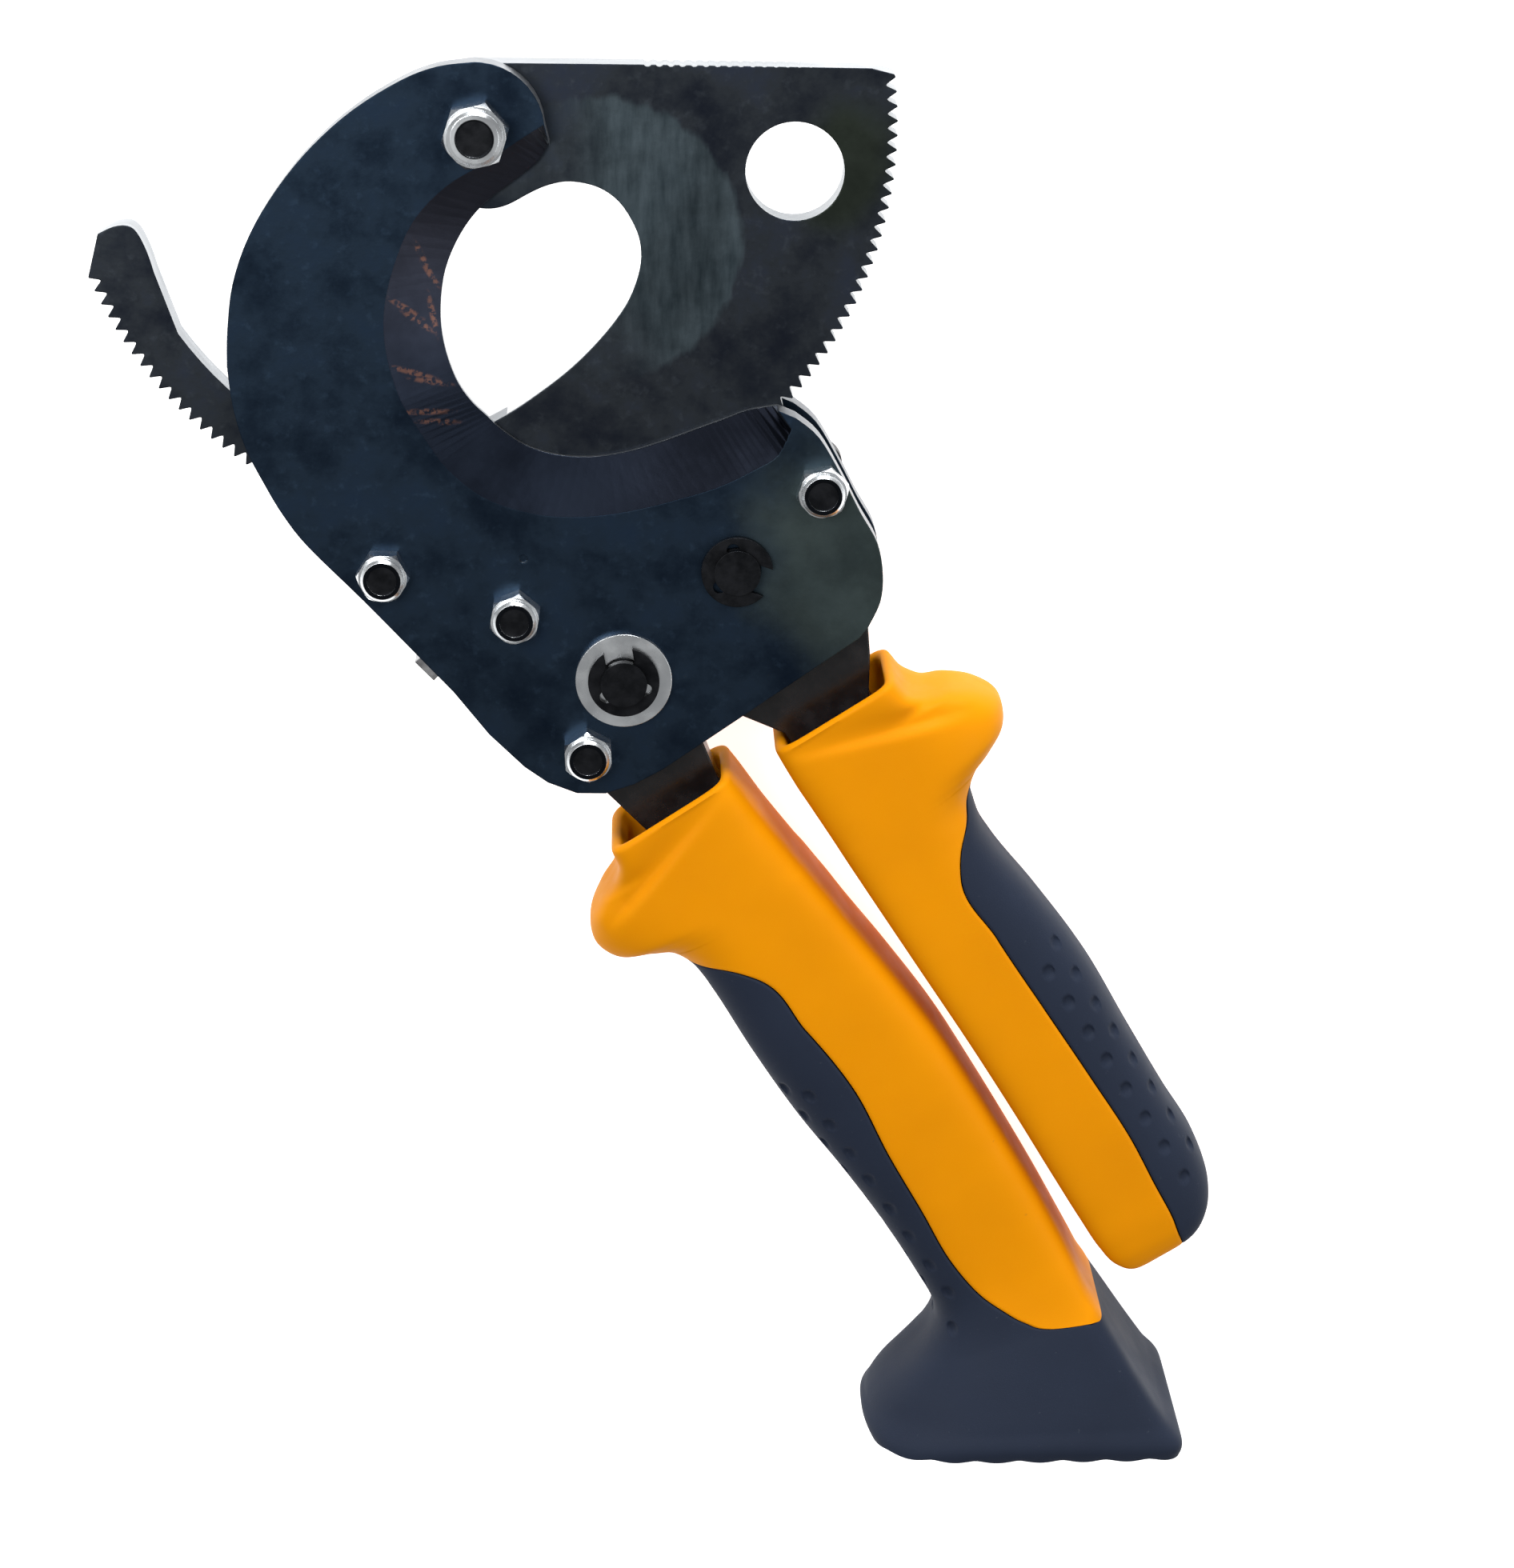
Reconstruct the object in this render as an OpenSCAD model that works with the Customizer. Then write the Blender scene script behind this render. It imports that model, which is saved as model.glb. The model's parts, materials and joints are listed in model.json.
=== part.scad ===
// One-hand ratcheting cable cutter, closed at rest, lying flat with its nuts up.
// The model is laid out about the blade's pivot axis, with the blade's mid-plane at z = 0,
// and is then moved so that the origin is the bottom centre of the whole tool.

/* [Blade] */
// Thickness of the swinging blade
blade_t = 6; // [5:0.5:8]
// Radius of the circle through the tooth tips
tooth_r = 70; // [69:0.1:70.2]
// Depth of a ratchet tooth
tooth_depth = 1.65; // [1:0.05:2]
// Angle from one tooth to the next
tooth_pitch = 2; // [1.8:0.1:2.2]
// Number of teeth
tooth_count = 84; // [70:1:84]
// Angle of the first tooth, near the blade's square corner
tooth_start = 6.7; // [6:0.1:7]
// Radius of the round hole in the blade
blade_hole_r = 8.3; // [6:0.1:9.5]
// Thickness left at the blade's cutting edge
blade_edge_t = 0.8; // [0.5:0.1:2]
// Number of grooves in the thumb grip on the blade's back
thumb_grooves = 15; // [8:1:18]

/* [Plates] */
// Thickness of each side plate
plate_t = 5; // [4:0.5:7]
// Play between the blade and each plate
blade_play = 0.1; // [0.05:0.01:0.2]
// Thickness left at the hook's cutting edge
hook_edge_t = 1; // [0.5:0.1:2]

/* [Fasteners] */
// Radius of the frame bolts
bolt_r = 2.5; // [2:0.1:3]
// Width across flats of the frame nuts
nut_af = 8; // [7:0.5:9]
// Height of the frame nuts
nut_h = 5; // [4:0.5:6]
// Radius of the frame spacers
bush_r = 4; // [3.5:0.1:4.2]
// Radius of the pivot bolt's shoulder, on which the blade turns
pivot_r = 5; // [4:0.1:6]
// Radius of the pivot bolt's thread
pivot_thread_r = 3; // [2.5:0.1:3.5]
// Width across flats of the pivot nut
pivot_nut_af = 10; // [9:0.5:12]
// Radius of the handle pin and of the pawl pin
pin_r = 4; // [3.5:0.1:4.5]
// Radial play of a pin or a shoulder in what turns on it
running_fit = 0.05; // [0.02:0.01:0.09]
// Clearance of a bolt in its plain hole
bolt_gap = 0.1; // [0.05:0.05:0.2]
// Thickness of an E-clip
clip_t = 1; // [0.8:0.1:1.2]

/* [Mechanism] */
// Angle through which the long handle opens
handle_open = 22; // [10:1:22]
// Radius of the drive pawl's pin
pawl_pin_r = 2; // [1.5:0.1:2.5]
// Gap kept between a released pawl and the tooth tips
pawl_gap = 0.35; // [0.3:0.05:0.6]
// Angle that lowers the holding pawl into the teeth
hold_engage = 4.4; // [4:0.1:5]

/* [Grips] */
// Half the thickness of each grip across the flat tool
grip_half_t = 12; // [10:0.5:14]
// Half the width of the bench foot's sole
foot_half_w = 21.3; // [18:0.1:24]
// Wall of the hollow hand guards
guard_wall = 2; // [1.6:0.1:2.6]
// Width of each steel tang where it enters its grip
tang_w = 16; // [12:0.5:17]
// Depth of each tang's end below its grip's rim
tang_depth = 30; // [24:1:36]

/* [Hidden] */

$fn = 64;
half_gap = blade_t / 2 + blade_play;
plate_z = half_gap + plate_t;
eps = 0.01;

// The origin of the finished part, seen from the blade's pivot
origin_at = [31.54, -114.45, -foot_half_w];

// Places of the fasteners
bolt_a = [-17.4, -75.2];
bolt_b = [4.9, -82.8];
bolt_c = [17.1, -107.8];
bolt_d = [57.5, -61];
bolts = [bolt_a, bolt_b, bolt_c, bolt_d];
handle_at = [23.4, -94.4];
hold_at = [43, -75.2];
drive_at = [17.5, -83.5];
blade_hole_at = [52.9, -7.5];

black = [0.07, 0.08, 0.09];
zinc = [0.78, 0.8, 0.82];
orange = [0.93, 0.6, 0.05];
slate = [0.2, 0.22, 0.27];
steel = [0.45, 0.46, 0.48];

// ---------- small helpers ----------
function polar(r, a) = [r * cos(a), r * sin(a)];
function turned(p, about, a) = let (d = p - about)
    about + [d[0] * cos(a) - d[1] * sin(a), d[0] * sin(a) + d[1] * cos(a)];
function unit(v) = v / norm(v);
function reversed(list) = [for (i = [len(list) - 1 : -1 : 0]) list[i]];

// One point of a Catmull-Rom curve between b and c
function blend4(a, b, c, d, t) =
    0.5 * ((2 * b) + t * (c - a) + t * t * (2 * a - 5 * b + 4 * c - d)
    + t * t * t * (3 * b - a - 3 * c + d));
// A smooth open curve through the points, with n steps between each pair
function smooth(p, n) = let (last = len(p) - 1)
    [for (i = [0 : last - 1], k = [0 : n - 1])
        blend4(p[max(i - 1, 0)], p[i], p[i + 1], p[min(i + 2, last)], k / n), p[last]];
function arc(at, r, a0, a1, n) = [for (i = [0 : n]) at + polar(r, a0 + (a1 - a0) * i / n)];

function middle(ring) = [for (p = ring) 1] * ring / len(ring);

// Solid swept through rings of equal length, closed by a fan in its first and last ring
module loft(rings) {
    n = len(rings[0]);
    m = len(rings);
    top = (m - 1) * n;
    sides = [for (i = [0 : m - 2], j = [0 : n - 1])
        let (k = (j + 1) % n, a = i * n, b = a + n)
        each [[a + j, a + k, b + k], [a + j, b + k, b + j]]];
    fans = [for (j = [0 : n - 1]) let (k = (j + 1) % n)
        each [[k, j, m * n], [top + j, top + k, m * n + 1]]];
    polyhedron(concat([for (r = rings) each r], [middle(rings[0]), middle(rings[m - 1])]),
        concat(sides, fans), convexity = 6);
}

// Cutter for a ground bevel, from the line on the face down to the cutting edge
module bevel_cut(line, edge, face_z, edge_z) {
    over = 0.12;
    up = face_z > edge_z ? 1 : -1;
    rings = [for (i = [0 : len(line) - 1])
        let (run = edge[i] - line[i], drop = edge_z - face_z,
             a = line[i] - over * run, b = edge[i] + over * run)
        [[a[0], a[1], face_z + up], [b[0], b[1], face_z + up],
         [b[0], b[1], edge_z + over * drop], [a[0], a[1], face_z - over * drop]]];
    loft(rings);
}

// Round wire wound about Z along the points
module wire(points, r, sides = 8) {
    last = len(points) - 1;
    loft([for (i = [0 : last])
        let (run = points[min(i + 1, last)] - points[max(i - 1, 0)],
             side = unit([-run[1], run[0], 0]))
        [for (k = [0 : sides - 1])
            let (a = -360 * k / sides) points[i] + r * cos(a) * side + [0, 0, r * sin(a)]]]);
}
function coil(at, r, z0, z1, a0, a1, n) =
    [for (i = [0 : n]) let (p = at + polar(r, a0 + (a1 - a0) * i / n))
        [p[0], p[1], z0 + (z1 - z0) * i / n]];

module bore(at, r, z0 = -40, z1 = 40) translate([at[0], at[1], z0]) cylinder(r = r, h = z1 - z0);
module rod(at, r, z0, z1) translate([at[0], at[1], z0]) cylinder(r = r, h = z1 - z0);

// Hexagon nut with a plain locking collar, its seat at z = 0
module lock_nut(af, h, hole_r) {
    hex_h = 0.68 * h;
    difference() {
        union() {
            intersection() {
                cylinder(r = af / 2 / cos(30), h = hex_h, $fn = 6);
                cylinder(r1 = af / 2 / cos(30) + 1.2, r2 = af / 2 + 0.1, h = hex_h);
            }
            cylinder(r = 0.46 * af, h = h - 0.5);
            translate([0, 0, h - 0.5]) cylinder(r1 = 0.46 * af, r2 = 0.4 * af, h = 0.5);
        }
        translate([0, 0, -1]) cylinder(r = hole_r, h = h + 2);
    }
}

// E-clip that sits in a groove of radius inner, its seat at z = 0
module e_clip(inner, outer, t) difference() {
    cylinder(r = outer, h = t);
    translate([0, 0, -1]) cylinder(r = inner, h = t + 2);
    translate([0, -0.8 * inner, -1]) cube([outer + 1, 1.6 * inner, t + 2]);
    for (a = [120, 240]) rotate(a) translate([inner + 0.9, 0, -1]) cylinder(r = 1.1, h = t + 2);
}

// ---------- outlines ----------
// Hook's cutting edge, from the rounded end round the cable to the plate's right corner
hook_edge = [[12.1, -2], [10.1, -5.3], [6.4, -8.3], [0.8, -12.6], [-3, -17.4], [-5.7, -23.4],
             [-6.7, -30], [-6.3, -36], [-4.5, -42], [-2, -46], [0.7, -48.7], [3, -51],
             [7, -53.8], [12, -55.5],
             [18, -56], [24, -55.2], [30, -53.5], [36, -51.3], [41, -49.5], [45, -48],
             [50, -47.2]];
// Inner line of the ground bevel, opposite the points of the edge
bevel_line = [[11.2, 1.3], [6.4, -1.7], [1.2, -5.1], [-5.2, -8.9], [-10.8, -14.8], [-14.2, -22.4],
              [-16, -30], [-15.8, -37], [-14, -44], [-12, -48], [-9.5, -52], [-6, -57],
              [0, -62], [8, -64.8], [16, -65.5], [25, -64.5], [35, -62], [41, -60],
              [46, -57.5], [50, -55], [52.3, -50.5]];
plate_right = [[53, -48.5], [57, -52], [61, -59], [64, -65], [67, -70.5], [68, -76], [67.6, -81],
               [65.5, -85.6]];
plate_left = [[-6, -96.5], [-11, -91], [-21, -80], [-30, -70.5], [-34, -65], [-37, -59.5],
              [-40, -53], [-41.8, -46], [-42.5, -39]];
plate_foot = [[64, -87.5], [30, -111], [25, -113.7], [20, -115.3], [15, -115.2], [10, -113.2],
              [6, -110.3], [0, -104.3]];
hook_back = [[-42.5, -39], [-42.2, -33], [-41, -25], [-38, -17], [-33, -9], [-27, -2], [-20, 4],
             [-12, 8.8], [-6, 11], [0, 11.7]];
hook_end = arc([0, 0.3], 11.4, 84, 5, 9);
curve_n = 4;

front_outline = concat(smooth(hook_edge, curve_n), smooth(plate_right, curve_n), plate_foot,
    smooth(plate_left, curve_n), smooth(hook_back, curve_n), hook_end);
rear_outline = concat(smooth([for (i = [12 : 20]) hook_edge[i]], curve_n),
    smooth(plate_right, curve_n), plate_foot,
    smooth([for (i = [0 : 6]) plate_left[i]], curve_n), [[-24, -54.5], [-8, -55.5], [2, -55]]);

// Blade: cable opening from the hub to the tail, and the tail's inner side
blade_edge = [[-4, -11.8], [-1, -13.1], [2, -13.5], [5, -12.8], [9, -10.7], [12, -9.5],
              [15.5, -9], [20, -10], [23.5, -12.5], [26, -16.5], [27, -20], [26.8, -24],
              [25, -29], [22, -33.5], [18, -38], [14, -41.7],
              [9, -45.5], [4, -48.8], [-4, -53]];
tail_inner = concat(arc([0, 0], 61.5, -106, -146, 14),
    smooth([[-54.5, -24], [-55.5, -20.5], [-57, -17.2], [-58.6, -16], [-61, -16.2],
            [-63.6, -17.4]], 3));
blade_bevel = [[-4, -11.4], [-1, -12.4], [1.2, -11.6], [5, -7], [11, -0.8], [17, 0.8],
               [24, -0.5], [30, -4],
               [34.5, -9.5], [36.4, -16], [36.6, -24], [34.5, -32], [30.5, -39], [25.5, -45],
               [20, -49.5], [13.5, -53.5], [6.5, -56.5], [-4, -58.5]];
function tooth(k) = let (a = tooth_start - tooth_pitch * k, root = tooth_r - tooth_depth)
    [polar(tooth_r, a + 0.1 * tooth_pitch / 2), polar(tooth_r, a - 0.1 * tooth_pitch / 2),
     polar(root + 0.2, a - 0.4 * tooth_pitch), polar(root, a - 0.5 * tooth_pitch),
     polar(root + 0.2, a - 0.6 * tooth_pitch)];
tooth_ring = [for (k = [0 : tooth_count - 1]) each tooth(k)];
last_tooth = [for (i = [0 : len(tooth_ring) - 4]) tooth_ring[i]];
thumb_x = [27.5, 56.5];
hub_r = 10.9;
blade_top = [[65.5, 9.6], [thumb_x[1], 9.8], [thumb_x[0], 10.4], [4.5, 10.75]];
blade_outline = concat([[69.3, 8.6]], last_tooth, reversed(tail_inner),
    reversed(smooth(blade_edge, curve_n)), arc([0, 0], hub_r, -115, -268, 16), reversed(blade_top));

module blade() color(black) difference() {
    translate([0, 0, -blade_t / 2]) linear_extrude(blade_t) polygon(blade_outline);
    bore([0, 0], pivot_r + running_fit);
    bore(blade_hole_at, blade_hole_r);
    pitch = (thumb_x[1] - thumb_x[0]) / thumb_grooves;
    for (i = [0 : thumb_grooves - 1])
        bore([thumb_x[0] + (i + 0.5) * pitch, 10.85 - 0.02 * i], 0.8);
    bevel_cut(smooth(blade_bevel, curve_n), smooth(blade_edge, curve_n), -blade_t / 2,
        blade_t / 2 - blade_edge_t);
}

module plate_holes() {
    for (p = bolts) bore(p, bolt_r + bolt_gap);
    bore(handle_at, pin_r);
    bore(hold_at, pin_r + running_fit);
}

module front_plate() color(black) difference() {
    translate([0, 0, half_gap]) linear_extrude(plate_t) polygon(front_outline);
    plate_holes();
    bore([0, 0], pivot_thread_r + bolt_gap);
    bore([6.5, -72.8], 0.7, plate_z - 0.5);
    bevel_cut(smooth(bevel_line, curve_n), smooth(hook_edge, curve_n), plate_z,
        half_gap + hook_edge_t);
}

module rear_plate() color(black) difference() {
    translate([0, 0, -plate_z]) linear_extrude(plate_t) polygon(rear_outline);
    plate_holes();
}

// Filler strip along the plates' lower left edge, outside the sweep of the teeth
spacer_outline = [[-36.6, -61], [-33.8, -65.2], [-30, -70.5], [-21, -80], [-11, -91],
                  [-12.8, -92.6], [-9.6, -96], [-4.5, -90.5], [-8, -84.5], [-10.8, -77.5],
                  [-12.5, -71.7], [-24, -67.6], [-31, -64.6], [-36, -61.6]];
module side_spacer() color(steel) difference() {
    translate([0, 0, -half_gap]) linear_extrude(2 * half_gap) polygon(spacer_outline);
    bore(bolt_a, bolt_r + bolt_gap);
}

module frame_spacers() color(steel) for (p = [bolt_b, bolt_c]) difference() {
    rod(p, bush_r, -half_gap, half_gap);
    bore(p, bolt_r + bolt_gap);
}

head_h = 3.5;
module frame_bolts() color(black) for (p = bolts) {
    rod(p, bolt_r, -plate_z, plate_z + nut_h - 0.3);
    translate([p[0], p[1], -plate_z - head_h]) difference() {
        cylinder(r = nut_af / 2 + 0.25, h = head_h);
        translate([0, 0, -1]) cylinder(r = 0.3 * nut_af, h = 3, $fn = 6);
    }
}
module frame_nuts() color(zinc)
    for (p = bolts) translate([p[0], p[1], plate_z]) rotate(15 + p[0]) lock_nut(nut_af, nut_h, bolt_r);

pivot_nut_h = 6;
pivot_head_h = 3.2;
module pivot_bolt() color(black) {
    rod([0, 0], pivot_thread_r, half_gap - eps, plate_z + pivot_nut_h - 0.3);
    rod([0, 0], pivot_r, -half_gap, half_gap);
    difference() {
        rod([0, 0], pivot_r + 3.5, -half_gap - pivot_head_h, -half_gap);
        translate([0, 0, -half_gap - pivot_head_h - 1]) cylinder(r = 3.2, h = 3, $fn = 6);
    }
}
module pivot_nut() color(zinc)
    translate([0, 0, plate_z]) rotate(12) lock_nut(pivot_nut_af, pivot_nut_h, pivot_thread_r);

// Pin with a head behind the rear plate and a groove for its clip
washer_t = 1.2;
washer_r = 8.3;
pin_head = [6.3, 2.2];
groove_r = pin_r - 0.9;
module handle_pin() color(black) difference() {
    union() {
        rod(handle_at, pin_r, -plate_z - eps, plate_z + washer_t + clip_t + 1.6);
        rod(handle_at, pin_head[0], -plate_z - pin_head[1], -plate_z);
    }
    translate([0, 0, plate_z + washer_t]) difference() {
        rod(handle_at, pin_r + 1, 0, clip_t);
        rod(handle_at, groove_r, -1, clip_t + 1);
    }
}
module handle_pin_washer() color(zinc) difference() {
    rod(handle_at, washer_r, plate_z, plate_z + washer_t);
    bore(handle_at, pin_r + bolt_gap);
}
clip_r = 6.15;
module handle_pin_clip() color(black)
    translate([handle_at[0], handle_at[1], plate_z + washer_t]) rotate(100)
        e_clip(groove_r, clip_r, clip_t);

// ---------- grips ----------
// A grip is laid out along its inner edge: s runs down the grip, v across it to the outside.
// A row of a grip holds its inner point, its outer point, half its thickness and the share of
// its width that the soft pad takes.
function along(base, dir, side, s, v) = base + s * dir + v * side;
moving_base = [42.6, -113.2];
moving_dir = unit([0.546, -0.838]);
moving_side = [moving_dir[1], -moving_dir[0]];
fixed_base = [50, -109.5];
fixed_dir = unit([0.536, -0.844]);
fixed_side = [-fixed_dir[1], fixed_dir[0]];
function on_moving(s, v) = along(moving_base, moving_dir, moving_side, s, v);
function on_fixed(s, v) = along(fixed_base, fixed_dir, fixed_side, s, v);
function moving_row(s, vi, vo, h, b, p) = [on_moving(s, vi), on_moving(s, vo), h, b, p];
function fixed_row(s, vi, vo, h, b, p) = [on_fixed(s, vi), on_fixed(s, vo), h, b, p];

no_pad = 0.03;
sole_y = -240.6;
sole_x = [67.2, 123.6];
moving_rows = smooth([
    moving_row(-1.6, 0.2, 25.2, grip_half_t, no_pad, 8),
    moving_row(2, 0, 25.8, grip_half_t, no_pad, 8),
    moving_row(4.3, -0.1, 28.2, grip_half_t, no_pad, 5),
    moving_row(6.5, -0.2, 33, grip_half_t, no_pad, 3.2),
    moving_row(9, -0.3, 36.5, grip_half_t, no_pad, 2.6),
    moving_row(13, -0.6, 38, grip_half_t, no_pad, 2.5),
    moving_row(16.5, -0.9, 36.6, grip_half_t, no_pad, 2.5),
    moving_row(19, -1.1, 32.2, grip_half_t, no_pad, 2.7),
    moving_row(21.3, -1.4, 28, grip_half_t, no_pad, 2.9),
    moving_row(25, -1.7, 26, grip_half_t, 0.05, 3),
    moving_row(28.2, -2, 25.6, grip_half_t, 0.2, 3),
    moving_row(31.5, -2.2, 25.6, grip_half_t, 0.31, 3),
    moving_row(45, -3.4, 26.2, grip_half_t, 0.39, 3),
    moving_row(60, -4.2, 26.2, grip_half_t, 0.41, 3),
    moving_row(74, -3.8, 25.2, grip_half_t, 0.335, 3),
    moving_row(86, -3.2, 24.8, grip_half_t, 0.3, 3),
    moving_row(98, -2.4, 25.1, grip_half_t, 0.28, 3),
    [on_moving(107, -1.5), on_moving(105.7, 25.8), grip_half_t + 0.5, 0.345, 3],
    [on_moving(113, -0.8), on_moving(109, 27.6), grip_half_t + 1.3, 0.465, 3],
    [on_moving(117, -0.3), on_moving(110.9, 30.2), grip_half_t + 2, 0.585, 2.9],
    [on_moving(120, -0.2), on_moving(112.2, 33.2), grip_half_t + 2.7, 0.725, 2.8],
    [on_moving(121.9, 0), on_moving(112.8, 35.6), grip_half_t + 3.3, 0.97, 2.7],
    [[112.5, -221], [71.7, -229.6], grip_half_t + 4.9, 1, 2.5],
    [[116.4, -227.3], [68.6, -232.6], grip_half_t + 6.6, 1, 2.4],
    [[120.6, -233.8], [66.8, -235.7], foot_half_w - 1, 1, 2.5],
    [[124, -238.8], [66.2, -238.9], foot_half_w, 1, 3.2],
    [[sole_x[1], sole_y], [sole_x[0], sole_y], foot_half_w - 0.5, 1, 4]], 2);
moving_shell_end = 42;
pad_start = 16;
fixed_rows = smooth([
    fixed_row(-1.9, 0.4, 24.9, grip_half_t, no_pad, 8),
    fixed_row(2, 0.2, 25.4, grip_half_t, no_pad, 8),
    fixed_row(4.2, 0.1, 27.4, grip_half_t, no_pad, 5),
    fixed_row(6.5, 0, 32.2, grip_half_t, no_pad, 3.2),
    fixed_row(9.5, 0, 36, grip_half_t, no_pad, 2.6),
    fixed_row(13.3, 0, 37.8, grip_half_t, no_pad, 2.5),
    fixed_row(16.8, 0, 36.4, grip_half_t, no_pad, 2.5),
    fixed_row(19.3, 0, 32.8, grip_half_t, no_pad, 2.7),
    fixed_row(21, 0, 28.6, grip_half_t, no_pad, 2.9),
    fixed_row(24, 0, 25.2, grip_half_t, 0.04, 3),
    fixed_row(27.5, 0, 24, grip_half_t, 0.09, 3),
    fixed_row(31, 0, 23.2, grip_half_t, 0.21, 3),
    fixed_row(35, 0, 23.2, grip_half_t, 0.32, 3),
    fixed_row(48, 0, 24.6, grip_half_t, 0.38, 3),
    fixed_row(64, 0, 25.6, grip_half_t, 0.4, 3),
    fixed_row(80, -0.3, 24.8, grip_half_t, 0.37, 3),
    fixed_row(94, -0.8, 24.2, grip_half_t, 0.35, 3),
    [on_fixed(104, -1.1), on_fixed(104.5, 24), grip_half_t - 0.2, 0.38, 3],
    [on_fixed(111, -1.1), on_fixed(112, 22.2), grip_half_t - 0.5, 0.36, 3.2],
    [on_fixed(115, -0.5), on_fixed(116, 19.6), grip_half_t - 1.2, 0.33, 3.4],
    [on_fixed(117.6, 1), on_fixed(118, 17), grip_half_t - 2.4, 0.28, 3.4],
    [on_fixed(118.9, 3), on_fixed(118.7, 14.2), grip_half_t - 4.4, 0.22, 3.4]], 2);

// Point of a grip's section at angle t: 0 is the inner side, 180 the outer side. The inner
// side has tight corners, and the row's last value says how square the outer side is.
inner_power = 8;
function section(row, t, grow = 0) =
    let (mid = (row[0] + row[1]) / 2, w = norm(row[0] - row[1]) / 2 - grow, h = row[2] - grow,
         u = unit(row[0] - row[1]), c = cos(t), s = sin(t),
         q = 2 / (c > 0 ? inner_power : row[4]),
         v = sign(c) * w * pow(abs(c), q))
    [mid[0] + v * u[0], mid[1] + v * u[1], sign(s) * h * pow(abs(s), q)];
function cut_angle(row) = let (x = 2 * min(row[3], 0.97) - 1)
    acos(sign(x) * pow(abs(x), (x > 0 ? inner_power : row[4]) / 2));
ring_n = 22;
function shell_ring(row) = let (t = cut_angle(row))
    [for (i = [0 : ring_n - 1]) section(row, t * (2 * i / (ring_n - 1) - 1))];
function whole_ring(row) = [for (i = [0 : ring_n - 1]) section(row, 360 * (i + 0.5) / ring_n)];
function pad_ring(row) = let (t = cut_angle(row))
    [for (i = [0 : ring_n - 1]) section(row, t + (360 - 2 * t) * i / (ring_n - 1))];
function hollow_ring(row) =
    [for (i = [0 : ring_n - 1]) section(row, 180 * (2 * i / (ring_n - 1) - 1) * 0.97, guard_wall)];
// Rectangle with the same number of points, for the slot that holds the tang
function slot_ring(row) =
    let (mid = (row[0] + row[1]) / 2, w = norm(row[0] - row[1]) / 2, u = unit(row[0] - row[1]))
    [for (i = [0 : ring_n - 1])
        let (t = 360 * (i + 0.5) / ring_n - 180, c = cos(t), s = sin(t),
             k = 1 / max(abs(c), abs(s)), ck = abs(c * k) > 0.8 ? sign(c) : c * k,
             v = w * ck, z = abs(s * k) > 0.8 ? sign(s) * row[2] : row[2] * s * k)
        [mid[0] + v * u[0], mid[1] + v * u[1], z]];

// The tangs lie between v = tang_v and tang_out, narrowing a little towards their ends
tang_v = 3;
function tang_out(s) = tang_v + tang_w - 3.5 * s / tang_depth;
slot_top = 17;
// Hollow and slot of a grip, from the rim down to the slot's floor
function pocket(rim, low, bottom, mouth, floor) =
    [hollow_ring(rim), hollow_ring(low), hollow_ring(bottom), slot_ring(mouth), slot_ring(floor)];
moving_pocket = pocket(moving_rows[0], moving_row(11, 0.4, 30, grip_half_t, 0, 3),
    moving_row(slot_top, -0.6, 28, grip_half_t, 0, 3),
    moving_row(slot_top, tang_v, tang_out(slot_top), blade_t / 2, 0, 3),
    moving_row(tang_depth, tang_v, tang_out(tang_depth), blade_t / 2, 0, 3));
fixed_pocket = pocket(fixed_rows[0], fixed_row(11, 0.4, 30, grip_half_t, 0, 3),
    fixed_row(slot_top, 0.2, 28, grip_half_t, 0, 3),
    fixed_row(slot_top, tang_v, tang_out(slot_top), half_gap, 0, 3),
    fixed_row(tang_depth, tang_v, tang_out(tang_depth), half_gap, 0, 3));

module shell(rows, first, last, pocket_rings)
    loft(concat([for (i = [last : -1 : first]) shell_ring(rows[i])], pocket_rings));
module pad(rows, first, last) loft([for (i = [last : -1 : first]) pad_ring(rows[i])]);

module moving_grip_shell() color(orange) shell(moving_rows, 0, moving_shell_end, moving_pocket);
module moving_grip_pad() color(slate)
    loft(concat([for (i = [len(moving_rows) - 1 : -1 : moving_shell_end + 1])
        whole_ring(moving_rows[i])],
        [for (i = [moving_shell_end : -1 : pad_start]) pad_ring(moving_rows[i])]));
module fixed_grip_shell() color(orange)
    shell(fixed_rows, 0, len(fixed_rows) - 1, fixed_pocket);
module fixed_grip_pad() color(slate) pad(fixed_rows, pad_start, len(fixed_rows) - 1);

// ---------- handles ----------
fixed_tang_outline = concat(
    smooth([[49.5, -56.5], [54, -53.2], [58.8, -57.8], [62.3, -65], [65.3, -71.5], [66.2, -77],
            [65.6, -84]], 2),
    [[66.2, -92], on_fixed(0, tang_v + tang_w), on_fixed(tang_depth, tang_out(tang_depth)),
     on_fixed(tang_depth, tang_v), on_fixed(-2, tang_v), [43, -102.5], [40.6, -92], [38, -84],
     [35.2, -78], [36, -71.5], [43, -66.5]]);
pawl_hub_r = 6.2;
pawl_z = [0.15, half_gap - 0.15];
module fixed_tang() color(black) difference() {
    translate([0, 0, -half_gap]) linear_extrude(2 * half_gap) polygon(fixed_tang_outline);
    bore(bolt_d, bolt_r + bolt_gap);
    bore(hold_at, pin_r + running_fit);
    bore(hold_at, pawl_hub_r + 0.8, 0, half_gap + 1);
    translate([0, 0, half_gap]) linear_extrude(2 * half_gap, center = true)
        polygon([hold_at + [0, 12], hold_at + [0, -12], hold_at + [-12, -20],
                 hold_at + [-12, 12]]);
}

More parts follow.
